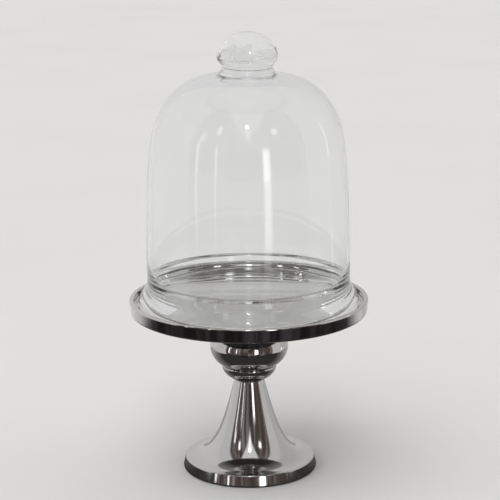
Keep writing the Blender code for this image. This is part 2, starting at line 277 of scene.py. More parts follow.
@dataclass
class Desk:
    """A node tree being wired, for a material or for the room's light."""

    tree: bpy.types.NodeTree

    def node(self, kind: str, inputs: dict[str | int, Any] | None = None, **settings: Any) -> bpy.types.Node:
        """Adds a node.

        Args:
            kind: the node's type without its ShaderNode prefix.
            inputs: for each input's name or number, a value or a socket to link from.
            settings: properties to set on the node.

        Returns:
            The new node.
        """
        made = self.tree.nodes.new("ShaderNode" + kind)
        for key, value in settings.items():
            setattr(made, key, value)
        for key, value in (inputs or {}).items():
            if isinstance(value, bpy.types.NodeSocket):
                self.tree.links.new(value, made.inputs[key])
            else:
                made.inputs[key].default_value = value
        return made

    def math(self, operation: str, first: Any, second: Any = 0.0) -> bpy.types.NodeSocket:
        """The result of one sum on two values or sockets."""
        return self.node("Math", {0: first, 1: second}, operation=operation).outputs[0]

    def noise(self, vector: bpy.types.NodeSocket, scale: float, detail: float = 2.0,
              roughness: float = 0.5) -> bpy.types.NodeSocket:
        """A noise value that averages one half."""
        inputs = {"Vector": vector, "Scale": scale, "Detail": detail, "Roughness": roughness}
        return self.node("TexNoise", inputs).outputs["Fac"]

    def spread(self, value: bpy.types.NodeSocket, low: float, high: float, from_low: float = 0.3,
               from_high: float = 0.7) -> bpy.types.NodeSocket:
        """A value stretched from one range to another, held at its ends."""
        inputs = {"Value": value, "From Min": from_low, "From Max": from_high, "To Min": low, "To Max": high}
        return self.node("MapRange", inputs).outputs["Result"]

    def bump(self, height: bpy.types.NodeSocket, distance: float, strength: float,
             normal: bpy.types.NodeSocket | None = None) -> bpy.types.NodeSocket:
        """A normal bent by a height, on top of an earlier one if there is one.

        Args:
            height: the height's socket.
            distance: how deep a height of one is, in metres.
            strength: the share of the bend that is kept.
            normal: the earlier normal, or None.

        Returns:
            The bent normal's socket.
        """
        inputs: dict[str | int, Any] = {"Height": height, "Distance": distance, "Strength": strength}
        if normal is not None:
            inputs["Normal"] = normal
        return self.node("Bump", inputs).outputs["Normal"]

    def mix(self, share: bpy.types.NodeSocket, first: Any, second: Any) -> bpy.types.NodeSocket:
        """One colour fading into another as the share goes from nought to one.

        Args:
            share: the socket that drives the fade.
            first: the colour or socket at nought.
            second: the colour or socket at one.

        Returns:
            The mixed colour's socket.
        """
        made = self.node("Mix", data_type="RGBA")
        for socket, value in zip((made.inputs["Factor"], made.inputs["A"], made.inputs["B"]),
                                 (share, first, second)):
            if isinstance(value, bpy.types.NodeSocket):
                self.tree.links.new(value, socket)
            else:
                socket.default_value = (*value, 1.0)
        return made.outputs["Result"]

    def smooth(self, value: bpy.types.NodeSocket, start: Any, end: Any) -> bpy.types.NodeSocket:
        """Nought before the start, one past the end, with a soft step between them."""
        inputs = {"Value": value, "From Min": start, "From Max": end, "To Min": 0.0, "To Max": 1.0}
        return self.node("MapRange", inputs, interpolation_type="SMOOTHSTEP").outputs["Result"]


class Recipe(Desk):
    """A material put together node by node."""

    def __init__(self, name: str) -> None:
        """Makes the empty material.

        Args:
            name: the material's name.
        """
        self.material = bpy.data.materials.new(name)
        self.material.use_nodes = True
        self.material.node_tree.nodes.clear()
        super().__init__(self.material.node_tree)

    def place(self) -> bpy.types.NodeSocket:
        """The piece's own coordinates in metres."""
        return self.node("TexCoord").outputs["Object"]

    def lathe_place(self) -> bpy.types.NodeSocket:
        """Coordinates that don't change round the axis: (distance from it, height, 0).

        Returns:
            The coordinates' socket.
        """
        split = self.node("SeparateXYZ", {0: self.place()})
        squares = self.math("ADD", self.math("POWER", split.outputs[0], 2.0),
                            self.math("POWER", split.outputs[1], 2.0))
        radius = self.math("SQRT", squares)
        return self.node("CombineXYZ", {0: radius, 1: split.outputs[2]}).outputs[0]

    def finish(self, surface: bpy.types.NodeSocket) -> bpy.types.Material:
        """Links the surface to the output and gives back the material."""
        self.node("OutputMaterial", {"Surface": surface})
        return self.material


@dataclass(frozen=True)
class PolishedCasting:
    """Mirror polished cast metal: fine lathe marks, a faint ripple left by hand polishing, and tiny pits."""

    name: str
    colour: tuple[float, float, float] = (0.66, 0.65, 0.635)
    gloss: float = 0.06
    haze: float = 0.05
    ripple: float = 0.00010
    lathe: float = 0.000004
    pits: float = 0.3
    pit_depth: float = 0.00002
    pit_scale: float = 260.0
    lathe_scale: float = 1400.0
    cloud_scale: float = 38.0
    fine_scale: float = 900.0
    ripple_scale: float = 24.0
    dull: float = 0.86
    cloud_share: float = 0.35
    pit_reach: tuple[float, float] = (0.02, 0.075)

    def material(self) -> bpy.types.Material:
        """Mixes the finish: haze drives roughness, and lathe marks, ripple and pits bend the normal.

        Returns:
            The finished material.
        """
        mix = Recipe(self.name)
        place = mix.place()
        turned = mix.lathe_place()
        cloud = mix.noise(place, self.cloud_scale, 3.0)
        fine = mix.noise(place, self.fine_scale, 2.0)
        marks = mix.noise(turned, self.lathe_scale, 2.0, 0.6)
        cells = mix.node("TexVoronoi", {"Vector": place, "Scale": self.pit_scale}).outputs["Distance"]
        pit = mix.spread(cells, 1.0, 0.0, *self.pit_reach)
        rough = mix.math("ADD", mix.spread(cloud, self.gloss, self.gloss + self.haze),
                         mix.math("MULTIPLY", mix.spread(fine, 0.0, 1.0), 0.5 * self.haze))
        wavy = mix.bump(mix.noise(place, self.ripple_scale, 1.0), self.ripple, 1.0)
        brushed = mix.bump(marks, self.lathe, 1.0, wavy)
        pitted = mix.bump(mix.math("SUBTRACT", 1.0, pit), self.pit_depth, self.pits, brushed)
        dull = tuple(self.dull * part for part in self.colour)
        tint = mix.mix(mix.spread(cloud, 0.0, self.cloud_share), self.colour, dull)
        shader = mix.node("BsdfPrincipled", {"Base Color": tint, "Metallic": 1.0,
                                             "Roughness": rough, "Normal": pitted})
        return mix.finish(shader.outputs[0])


@dataclass(frozen=True)
class BlownGlass:
    """Clear blown glass: a slow ripple, faint drawn streaks up the wall, and a wiped haze."""

    name: str
    colour: tuple[float, float, float] = (0.975, 0.985, 0.985)
    passed: tuple[float, float, float] = (0.93, 0.935, 0.935)
    refraction: float = 1.47
    ripple: float = 0.00008
    streaks: float = 0.00002
    haze: float = 0.012
    drawn_out: float = 0.12
    ripple_scale: float = 14.0
    streak_scale: float = 95.0
    haze_scale: float = 30.0
    haze_reach: tuple[float, float] = (0.45, 0.75)

    def material(self) -> bpy.types.Material:
        """Mixes the finish, and lets lamps through so that what stands under the glass is lit.

        Returns:
            The finished material.
        """
        mix = Recipe(self.name)
        place = mix.place()
        drawn = mix.node("Mapping", {"Vector": place, "Scale": (1.0, 1.0, self.drawn_out)}).outputs[0]
        wavy = mix.bump(mix.noise(place, self.ripple_scale, 1.0), self.ripple, 1.0)
        streaked = mix.bump(mix.noise(drawn, self.streak_scale, 2.0), self.streaks, 1.0, wavy)
        rough = mix.spread(mix.noise(place, self.haze_scale, 4.0), 0.0, self.haze, *self.haze_reach)
        glass = mix.node("BsdfPrincipled", {"Base Color": (*self.colour, 1.0), "Roughness": rough,
                                            "IOR": self.refraction, "Transmission Weight": 1.0,
                                            "Normal": streaked})
        clear = mix.node("BsdfTransparent", {"Color": (*self.passed, 1.0)})
        rays = mix.node("LightPath")
        lamp = mix.math("MAXIMUM", rays.outputs["Is Shadow Ray"], rays.outputs["Is Diffuse Ray"])
        both = mix.node("MixShader", {0: lamp, 1: glass.outputs[0], 2: clear.outputs[0]})
        return mix.finish(both.outputs[0])


@dataclass(frozen=True)
class PlatedSteel:
    """Zinc plated steel: a satin grey with a faint crystal mottle."""

    name: str
    colour: tuple[float, float, float] = (0.56, 0.57, 0.60)
    mottle_scale: float = 600.0
    grain_scale: float = 2500.0
    grain_depth: float = 0.00001
    dark: float = 0.75
    satin: tuple[float, float] = (0.28, 0.42)

    def material(self) -> bpy.types.Material:
        """Mixes the finish: the mottle shifts roughness and colour together.

        Returns:
            The finished material.
        """
        mix = Recipe(self.name)
        place = mix.place()
        mottle = mix.noise(place, self.mottle_scale, 3.0)
        dark = tuple(self.dark * part for part in self.colour)
        tint = mix.mix(mix.spread(mottle, 0.0, 1.0), self.colour, dark)
        shader = mix.node("BsdfPrincipled", {
            "Base Color": tint, "Metallic": 1.0,
            "Roughness": mix.spread(mottle, *self.satin),
            "Normal": mix.bump(mix.noise(place, self.grain_scale), self.grain_depth, 0.5),
        })
        return mix.finish(shader.outputs[0])


@dataclass(frozen=True)
class PressedFelt:
    """Black pressed felt: matted fibres with a soft sheen."""

    name: str
    colour: tuple[float, float, float] = (0.025, 0.025, 0.027)
    fibre_scale: float = 2200.0
    fibre_depth: float = 0.0002
    tuft_scale: float = 260.0
    tuft_depth: float = 0.0003
    tip_lightness: float = 2.2
    matt: float = 0.95
    sheen: float = 0.4

    def material(self) -> bpy.types.Material:
        """Mixes the finish: two scales of matting bend the normal and lighten the fibres' tips.

        Returns:
            The finished material.
        """
        mix = Recipe(self.name)
        place = mix.place()
        fibres = mix.noise(place, self.fibre_scale, 4.0, 0.7)
        tufts = mix.noise(place, self.tuft_scale, 2.0)
        light = tuple(self.tip_lightness * part for part in self.colour)
        tint = mix.mix(mix.spread(fibres, 0.0, 1.0), self.colour, light)
        shader = mix.node("BsdfPrincipled", {
            "Base Color": tint, "Roughness": self.matt, "Sheen Weight": self.sheen,
            "Normal": mix.bump(fibres, self.fibre_depth, 0.8, mix.bump(tufts, self.tuft_depth, 0.5)),
        })
        return mix.finish(shader.outputs[0])


def dress(piece: bpy.types.Object, material: bpy.types.Material) -> None:
    """Gives a piece this material alone."""
    piece.data.materials.clear()
    piece.data.materials.append(material)


# ---------------------------------------------------------------- glass dome


@dataclass(frozen=True)
class Wave:
    """One wave that hand work leaves: size times the cosine of lobes x angle + twist x height + start."""

    size: float
    lobes: int
    twist: float = 0.0
    start: float = 0.0

    def at(self, angle: Points, height: Points) -> Points:
        """How far the wave moves the surface out at each angle and height."""
        return self.size * np.cos(self.lobes * angle + self.twist * height + self.start)


@dataclass
class GlassDome:
    """The bell and its knob, which are one body of glass once the knob is fused to the crown."""

    wall: float = 0.0028
    flare_height: float = 0.0235
    lip_overhang: float = 0.0086
    foot_inset: float = 0.0065
    foot_growth: float = 0.034
    shoulder_height: float = 0.0537
    shoulder_taper: float = 0.0065
    collar_radius: float = 0.0250
    neck_radius: float = 0.0230
    edge: float = 0.0012
    gather: float = 0.0016
    root_radius: float = 0.0012
    waist_share: float = 0.42
    neck_share: float = 0.15
    head_share: float = 0.55
    fade_radius: float = 0.012
    head_spread: float = 0.012
    head_shrink: float = 0.0002
    ring_rise: float = 0.0065
    ring_spread: float = 0.0060
    ring_pitch: float = 0.0042
    ring_depth: float = 0.00045
    ring_lean: float = 0.6
    ring_start: float = 0.8
    wall_fade: float = 0.05
    knob_waves: tuple[Wave, ...] = (
        Wave(0.0013, 1, start=-0.4),
        Wave(0.0008, 2, 90.0, 1.1),
        Wave(0.0006, 3, -210.0),
        Wave(0.0003, 5, 260.0),
    )
    wall_waves: tuple[Wave, ...] = (
        Wave(0.00022, 2, 9.0),
        Wave(0.00016, 3, -17.0, 0.7),
        Wave(0.00006, 7, 31.0),
    )
    around: int = 176

    def __post_init__(self) -> None:
        """Reads the bell's and the knob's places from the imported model."""
        bell_low, bell_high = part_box("glass_bell")
        knob_low, knob_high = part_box("glass_knob")
        self.foot_z = bell_low.z
        self.crown_z = bell_high.z
        self.lip_radius = bell_high.x
        self.wall_radius = self.lip_radius - self.lip_overhang
        self.knob_z = knob_low.z
        self.top_z = knob_high.z
        self.knob_radius = knob_high.x

    def knob_outline(self) -> Points:
        """The knob from its top down to the corner where its collar meets the crown.

        Returns:
            An array of (radius, height).
        """
        height = self.top_z - self.knob_z
        waist_z = self.knob_z + self.waist_share * height
        neck_z = self.knob_z + self.neck_share * height
        head = bezier((0.0, self.top_z), (0.52 * self.knob_radius, self.top_z),
                      (self.knob_radius, waist_z + 0.43 * (self.top_z - waist_z)),
                      (self.knob_radius, waist_z), 36)
        throat = bezier((self.knob_radius, waist_z),
                        (self.knob_radius, waist_z - 0.55 * (waist_z - neck_z)),
                        (self.neck_radius, waist_z - 0.60 * (waist_z - neck_z)),
                        (self.neck_radius, neck_z), 24)
        collar = bezier((self.neck_radius, neck_z), (self.neck_radius, self.knob_z + 0.07 * height),
                        (self.collar_radius, self.knob_z + 0.09 * height),
                        (self.collar_radius, self.knob_z + 0.03 * height), 20)
        return joined(head, throat, collar)

    def shell_outline(self) -> Points:
        """The outside of the bell from the knob's collar down to the top of its turned-out foot.

        Returns:
            An array of (radius, height).
        """
        shoulder_radius = self.wall_radius - self.shoulder_taper
        shoulder_z = self.crown_z - self.shoulder_height
        flare_z = self.foot_z + self.flare_height
        span = self.wall_radius - self.collar_radius
        wall = shoulder_z - flare_z
        crown = bezier((self.collar_radius + self.root_radius, self.crown_z),
                       (self.collar_radius + 0.48 * span, self.crown_z),
                       (self.collar_radius + 0.81 * span, self.crown_z - 0.40 * self.shoulder_height),
                       (shoulder_radius, shoulder_z), 64)
        side = bezier((shoulder_radius, shoulder_z),
                      (self.wall_radius - 0.38 * self.shoulder_taper, shoulder_z - 0.15 * wall),
                      (self.wall_radius, shoulder_z - 0.52 * wall), (self.wall_radius, flare_z), 40)
        return joined(crown, side)

    def thickness(self, height: Points) -> Points:
        """The glass's thickness at a height: the blown wall, growing smoothly into the solid foot.

        Args:
            height: heights in metres.

        Returns:
            The thickness at each height.
        """
        low = self.foot_z + 0.2 * self.flare_height
        share = np.clip((low + self.foot_growth - height) / self.foot_growth, 0.0, 1.0)
        return self.wall + (self.foot_inset - self.wall) * share**2 * (3.0 - 2.0 * share)

    def outline(self) -> Points:
        """The whole body of glass: knob, shell and foot outside, then the inside back up to the axis.

        Returns:
            An array of (radius, height).
        """
        shell = self.shell_outline()
        flare_z = self.foot_z + self.flare_height
        flare = bezier((self.wall_radius, flare_z),
                       (self.wall_radius, self.foot_z + 0.52 * self.flare_height),
                       (self.lip_radius, self.foot_z + 0.50 * self.flare_height),
                       (self.lip_radius, self.foot_z + self.edge), 24)
        foot_inner = self.wall_radius - self.foot_inset
        foot_corner = (foot_inner, self.foot_z)
        foot_top = (foot_inner, self.foot_z + 0.35 * self.flare_height)
        lip = fillet((self.lip_radius, self.foot_z), flare[-1], foot_corner, self.edge, 8)
        heel = fillet(foot_corner, lip[-1], foot_top, 0.7 * self.edge, 7)
        rise = np.linspace(heel[-1, 1], flare_z, 24)
        inner_foot = np.stack([self.wall_radius - self.thickness(rise), rise], axis=1)
        inside = inset(shell, self.thickness(shell[:, 1]))[::-1]
        first = inside[-1, 0]
        under = straight((first, self.crown_z - self.wall), (0.0, self.crown_z - self.wall), 14)
        under[:, 1] -= self.gather * bump(under[:, 0], 0.0, 0.6 * self.collar_radius)
        root_corner = (self.collar_radius, self.crown_z)
        root = fillet(root_corner, (self.collar_radius, self.top_z), shell[0], self.root_radius, 7)
        return joined(self.knob_outline(), root, shell, flare, lip, heel, inner_foot, inside, under)

    def wobble(self, radius: Points, height: Points, angle: Points) -> Points:
        """How far hand work left the glass from round.

        The wall swells and narrows a little as waves of two and three round the axis that turn with
        height. The knob's head adds a lean, a pinch and a slow roll that turns with height, and its neck
        keeps the rings left where the collar was wound on. Everything fades to nothing at the axis and
        at the foot.

        Args:
            radius: each point's radius.
            height: each point's height.
            angle: each point's angle round the axis.

        Returns:
            How far out each point moves.
        """
        fade = np.clip(radius / self.fade_radius, 0.0, 1.0)
        rise = height - self.knob_z
        middle = self.head_share * (self.top_z - self.knob_z)
        head = bump(rise, middle, self.head_spread) * (rise > 0.0)
        lumps = sum(wave.at(angle, rise) for wave in self.knob_waves)
        rings = bump(rise, self.ring_rise, self.ring_spread) * (rise > 0.0)
        lean = self.ring_lean * np.cos(angle + self.ring_start)
        wound = self.ring_depth * np.cos(math.tau * rise / self.ring_pitch + lean)
        wall = np.clip((height - self.foot_z - self.flare_height) / self.wall_fade, 0.0, 1.0)
        wall *= height < self.knob_z
        waves = sum(wave.at(angle, height) for wave in self.wall_waves)
        return fade * (head * (lumps - self.head_shrink) + rings * wound + wall * waves)

    def build(self, glass: bpy.types.Material) -> bpy.types.Object:
        """Makes the dome in its glass.

        Args:
            glass: the dome's material.

        Returns:
            The finished dome.
        """
        piece = TurnedSurface("glass_dome", self.outline(), self.around, wobble=self.wobble).build()
        dress(piece, glass)
        return seat(piece, Body.DOME, Slot.GLASS, "glass_bell", "glass_knob")


# ---------------------------------------------------------------- tray


@dataclass
class Tray:
    """Polished tray: flat floor, raised rim and a boss underneath."""

    rim_width: float = 0.0043
    rim_rise: float = 0.0060
    side_taper: float = 0.0012
    boss_radius: float = 0.0130
    boss_height: float = 0.0100
    edge: float = 0.0013
    ring_inset: float = 0.0159
    ring_width: float = 0.0010
    ring_depth: float = 0.0004
    around: int = 224

    def __post_init__(self) -> None:
        """Reads the tray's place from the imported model."""
        low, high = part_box("tray")
        self.radius = high.x
        self.rim_z = high.z
        self.boss_z = low.z
        self.under_z = self.boss_z + self.boss_height
        self.floor_z = self.rim_z - self.rim_rise
        self.bore_top_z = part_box("tie_rod")[1].z + GAP
        self.ring_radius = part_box("glass_bell")[1].x - self.ring_inset

    def outline(self) -> Points:
        """From the middle of the floor out over the rim, and back under to the boss's blind bore.

        Returns:
            An array of (radius, height).
        """
        inner = self.radius - self.rim_width
        rim_out = (self.radius, self.rim_z)
        rim_in = (inner, self.rim_z)
        corner = (inner, self.floor_z)
        side = (self.radius - self.side_taper, self.under_z)
        root = (self.boss_radius, self.under_z)
        tip = (self.boss_radius, self.boss_z)
        ring_side = np.linspace(-1.0, 1.0, 9)[:, None]
        ring = np.hstack([self.ring_radius + 0.5 * self.ring_width * (ring_side - 1.0),
                          self.floor_z - self.ring_depth * np.cos(0.5 * math.pi * ring_side) ** 2])
        return joined(
            straight((0.0, self.floor_z), (self.ring_radius - self.ring_width, self.floor_z), 60),
            ring,
            straight((self.ring_radius, self.floor_z), (0.97 * inner, self.floor_z), 12),
            fillet(corner, (0.0, self.floor_z), rim_in, 1.2 * self.edge, 10),
            fillet(rim_in, corner, rim_out, self.edge, 8),
            fillet(rim_out, rim_in, side, self.edge, 8),
            fillet(side, rim_out, root, 1.6 * self.edge, 10),
            straight((0.9 * self.radius, self.under_z), (1.6 * self.boss_radius, self.under_z), 24),
            fillet(root, (self.radius, self.under_z), tip, 0.5 * self.edge, 6),
            fillet(tip, root, (BORE_RADIUS, self.boss_z), 0.5 * self.edge, 6),
            straight((BORE_RADIUS, self.boss_z), (BORE_RADIUS, self.bore_top_z), 6),
            np.array([[0.0, self.bore_top_z]]),
        )

    def build(self, metal: bpy.types.Material) -> bpy.types.Object:
        """Makes the tray in its metal.

        Args:
            metal: the tray's material.

        Returns:
            The finished tray.
        """
        piece = TurnedSurface("serving_tray", self.outline(), self.around).build()
        dress(piece, metal)
        return seat(piece, Body.STAND, Slot.METAL, "tray")


# ---------------------------------------------------------------- bowls


@dataclass
class Bowls:
    """The two turned bowls that carry the tray."""

    neck_radius: float = 0.0240
    neck_height: float = 0.0135
    widest_height: float = 0.0190
    pocket_radius: float = 0.0138
    pocket_clearance: float = 0.0008
    stem_overhang: float = 0.0148
    shoulder_edge: float = 0.0006
    joint_inset: float = 0.0003
    upper_around: int = 160
    lower_around: int = 144

    def __post_init__(self) -> None:
        """Reads both bowls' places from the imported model."""
        self.upper_low, self.upper_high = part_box("upper_bowl")
        self.lower_low, self.lower_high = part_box("lower_bowl")
        self.pocket_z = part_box("tray")[0].z - self.pocket_clearance

    def upper_outline(self) -> Points:
        """The upper bowl: neck, squat ball, in to its foot, up the bore and round the pocket.

        Returns:
            An array of (radius, height).
        """
        widest = self.upper_high.x
        top_z = self.upper_high.z
        foot_z = self.upper_low.z
        foot = self.lower_high.x - self.joint_inset
        widest_z = foot_z + self.widest_height
        neck_z = top_z - self.neck_height
        over_height = neck_z - widest_z
        neck = straight((self.neck_radius, top_z), (self.neck_radius, neck_z), 2)
        over = bezier((self.neck_radius, neck_z),
                      (self.neck_radius + 0.65 * (widest - self.neck_radius), neck_z - 0.22 * over_height),
                      (widest, widest_z + 0.30 * over_height), (widest, widest_z), 26)
        under = bezier((widest, widest_z), (widest, foot_z + 0.47 * self.widest_height),
                       (foot + 0.50 * (widest - foot), foot_z + 0.18 * self.widest_height),
                       (foot, foot_z), 34)
        hidden = np.array([
            (BORE_RADIUS, foot_z), (BORE_RADIUS, self.pocket_z),
            (self.pocket_radius, self.pocket_z), (self.pocket_radius, top_z),
        ])
        return joined(neck, over, under, hidden)

    def lower_outline(self) -> Points:
        """The lower bowl: a rounded shoulder over a cup that draws in to the stem.

        Returns:
            An array of (radius, height).
        """
        top_z = self.lower_high.z
        foot_z = self.lower_low.z
        height = top_z - foot_z
        widest = self.lower_high.x
        shoulder_z = top_z - 0.13 * height
        foot = self.stem_overhang
        cup = bezier((widest, shoulder_z), (widest, foot_z + 0.54 * height),
                     (foot + 0.5 * (widest - foot), foot_z + 0.20 * height), (foot, foot_z), 26)
        hidden = np.array([(BORE_RADIUS, foot_z), (BORE_RADIUS, top_z)])
        shoulder = fillet((widest, top_z), (BORE_RADIUS, top_z), (widest, foot_z), self.shoulder_edge, 8)
        return joined(shoulder, cup, hidden)

    def build(self, metal: bpy.types.Material) -> list[bpy.types.Object]:
        """Makes both bowls in their metal.

        Args:
            metal: the bowls' material.

        Returns:
            The upper and the lower bowl.
        """
        upper = TurnedSurface("upper_bowl_turning", self.upper_outline(), self.upper_around, True).build()
        lower = TurnedSurface("lower_bowl_turning", self.lower_outline(), self.lower_around, True).build()
        dress(upper, metal)
        dress(lower, metal)
        return [
            seat(upper, Body.STAND, Slot.METAL, "upper_bowl"),
            seat(lower, Body.STAND, Slot.METAL, "lower_bowl"),
        ]


# ---------------------------------------------------------------- pedestal


@dataclass
class Pedestal:
    """Trumpet stem and round foot in one casting, on a felt pad."""

    stem_radius: float = 0.0140
    edge_height: float = 0.0108
    edge_taper: float = 0.0023
    lip_width: float = 0.0050
    pocket_radius: float = 0.0140
    pad_recess_radius: float = 0.0566
    edge: float = 0.0012
    pad_edge: float = 0.0004
    around: int = 192
    pad_around: int = 128

    def __post_init__(self) -> None:
        """Reads the casting's and the pad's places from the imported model."""
        low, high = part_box("pedestal")
        self.foot_radius = high.x
        self.foot_z = low.z
        self.top_z = high.z
        self.pad_low, self.pad_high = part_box("base_pad")
        self.pocket_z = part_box("flat_washer")[1].z + GAP

    def outline(self) -> Points:
        """Down the trumpet, over the foot's lip and edge, and up through the recess, pocket and bore.

        Returns:
            An array of (radius, height).
        """
        lip_z = self.foot_z + self.edge_height
        edge_top = (self.foot_radius - self.edge_taper, lip_z)
        lip_inner = (edge_top[0] - self.lip_width, lip_z)
        edge_bottom = (self.foot_radius, self.foot_z)
        stem_top = (self.stem_radius, self.top_z)
        rise = self.top_z - lip_z
        spread = lip_inner[0] - self.stem_radius
        trumpet = bezier((self.stem_radius, self.top_z - self.edge),
                         (self.stem_radius + 0.265 * spread, lip_z + 0.42 * rise),
                         (self.stem_radius + 0.45 * spread, lip_z + 0.02 * rise), lip_inner, 72)
        recess_z = self.pad_high.z + GAP
        hidden = np.array([
            (self.pad_recess_radius, self.foot_z), (self.pad_recess_radius, recess_z),
            (self.pocket_radius, recess_z), (self.pocket_radius, self.pocket_z),
            (BORE_RADIUS, self.pocket_z), (BORE_RADIUS, self.top_z),
        ])
        return joined(
            fillet(stem_top, (BORE_RADIUS, self.top_z), (self.stem_radius, 0.0), self.edge, 8),
            trumpet,
            fillet(edge_top, lip_inner, edge_bottom, self.edge, 9),
            fillet(edge_bottom, edge_top, (0.0, self.foot_z), self.edge, 9),
            hidden,
        )

    def pad_outline(self) -> Points:
        """The pad: a flat disc with soft edges.

        Returns:
            An array of (radius, height).
        """
        radius = self.pad_high.x
        top = (radius, self.pad_high.z)
        bottom = (radius, self.pad_low.z)
        return joined(
            straight((0.0, self.pad_high.z), (0.96 * radius, self.pad_high.z), 12),
            fillet(top, (0.0, self.pad_high.z), bottom, self.pad_edge, 5),
            fillet(bottom, top, (0.0, self.pad_low.z), self.pad_edge, 5),
            straight((0.96 * radius, self.pad_low.z), (0.0, self.pad_low.z), 12),
        )

    def build(self, metal: bpy.types.Material, felt: bpy.types.Material) -> list[bpy.types.Object]:
        """Makes the casting and its pad.

        Args:
            metal: the casting's material.
            felt: the pad's material.

        Returns:
            The casting and the pad.
        """
        casting = TurnedSurface("trumpet_pedestal", self.outline(), self.around, True).build()
        pad = TurnedSurface("felt_pad", self.pad_outline(), self.pad_around).build()
        dress(casting, metal)
        dress(pad, felt)
        return [
            seat(casting, Body.STAND, Slot.METAL, "pedestal"),
            seat(pad, Body.STAND, Slot.FELT, "base_pad"),
        ]


# ---------------------------------------------------------------- clamp


@dataclass
class Clamp:
    """The rod, washers and nut inside the column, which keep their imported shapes."""

    nodes: tuple[str, ...] = ("tie_rod", "flat_washer", "lock_washer", "hex_nut")

    def build(self, steel: bpy.types.Material) -> list[bpy.types.Object]:
        """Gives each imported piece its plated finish.

        Args:
            steel: the clamp's material.

        Returns:
            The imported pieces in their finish.
        """
        pieces = [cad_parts[name] for name in self.nodes]
        for piece in pieces:
            dress(piece, steel)
        return pieces


# ---------------------------------------------------------------- studio


@dataclass(frozen=True)
class Glow:
    """A bright patch of the room, placed by its bearing from the front and its rise, in degrees."""

    bearing: float
    rise: float
    half_width: float
    half_height: float
    level: float


@dataclass(frozen=True)
class Card:
    """A flat reflector that only polished surfaces see."""

    name: str
    corners: tuple[tuple[float, float, float], ...]
    near: tuple[float, float, float]
    far: tuple[float, float, float]
    axis: int
    start: float
    end: float


